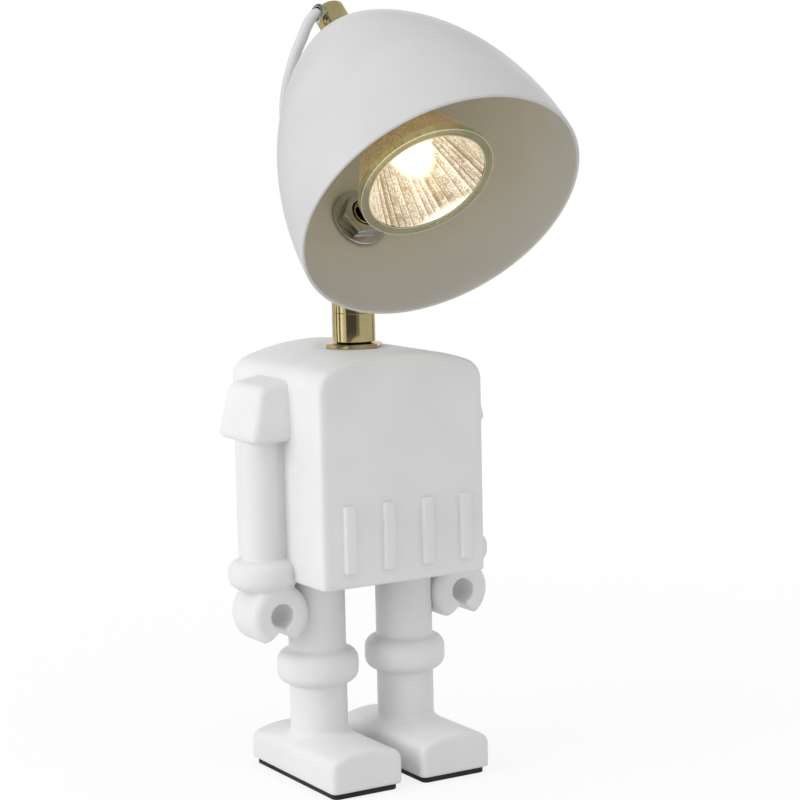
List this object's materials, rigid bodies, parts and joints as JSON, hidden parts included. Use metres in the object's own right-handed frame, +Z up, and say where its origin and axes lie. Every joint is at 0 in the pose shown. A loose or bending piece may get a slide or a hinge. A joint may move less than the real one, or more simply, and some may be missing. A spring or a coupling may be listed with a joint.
{
  "type": "table lamp",
  "caption": "White robot figure standing on rubber pads, with a domed metal shade on its brass neck that turns and tilts over a twist-lock reflector bulb.",
  "frame": {"origin": "on the table, under the axis of the neck", "axes": "+Z up along the neck, -Y the way the figure faces, +X towards the figure's left arm"},
  "size_m": [0.1056, 0.1338, 0.2802],
  "materials": {
    "casting": "matte white",
    "pad_rubber": "matt black",
    "hatch_black": "matt black",
    "plated_steel": "nickel plated",
    "polished_brass": "polished",
    "shade_white": "satin white",
    "cord_sheath": "clear over white",
    "terminal_plastic": "natural",
    "holder_ceramic": "unglazed",
    "reflector_glass": "mirrored inside, warm",
    "lens_glass": "clear",
    "capsule_glow": "lit"
  },
  "bodies": {
    "figure": {"torso": "casting", "right_arm": "casting", "left_arm": "casting", "right_leg": "casting", "left_leg": "casting", "right_foot_pad": "pad_rubber", "left_foot_pad": "pad_rubber", "hatch_plate": "hatch_black", "hatch_screws": "plated_steel", "mains_grommet": "pad_rubber", "terminal_block": "terminal_plastic", "terminal_screws": "plated_steel", "neck_lead": "cord_sheath", "neck_tube": "polished_brass", "neck_inner_washer": "plated_steel", "neck_inner_nut": "polished_brass", "neck_lock_nut": "polished_brass", "swivel_collar": "polished_brass", "stop_screw": "plated_steel"},
    "swivel": {"knuckle_fork": "polished_brass", "cord_bush": "plated_steel", "knuckle_screw": "polished_brass", "knuckle_nut": "polished_brass", "friction_washers": "plated_steel"},
    "shade": {"knuckle_tongue": "polished_brass", "flange_washer": "plated_steel", "shade_nut": "plated_steel", "shade_shell": "shade_white", "shade_cap": "polished_brass", "cap_nipple": "polished_brass", "nipple_nut": "plated_steel", "cap_gland": "plated_steel", "jumper_cord": "cord_sheath", "holder_bracket": "plated_steel", "holder_screws": "plated_steel", "lampholder": "holder_ceramic", "holder_contacts": "polished_brass", "holder_leads": "cord_sheath"},
    "bulb": {"bulb_reflector": "reflector_glass", "bulb_lens": "lens_glass", "bulb_base": "holder_ceramic", "bulb_pins": "plated_steel", "bulb_capsule": "capsule_glow"}
  },
  "joints": [
    {"name": "swivel_pan", "type": "hinge", "parent": "figure", "child": "swivel", "pos_m": [0, 0, 0.1685], "axis": [0, 0, 1], "range_deg": [-150, 150]},
    {"name": "shade_tilt", "type": "hinge", "parent": "swivel", "child": "shade", "pos_m": [0, 0.0024, 0.198], "axis": [1, 0, 0], "range_deg": [-60, 18], "deforming": ["jumper_cord"]},
    {"name": "bulb_twist", "type": "hinge", "parent": "shade", "child": "bulb", "pos_m": [0, -0.0532, 0.2158], "axis": [0, -0.7373, -0.6756], "range_deg": [0, 40]}
  ]
}
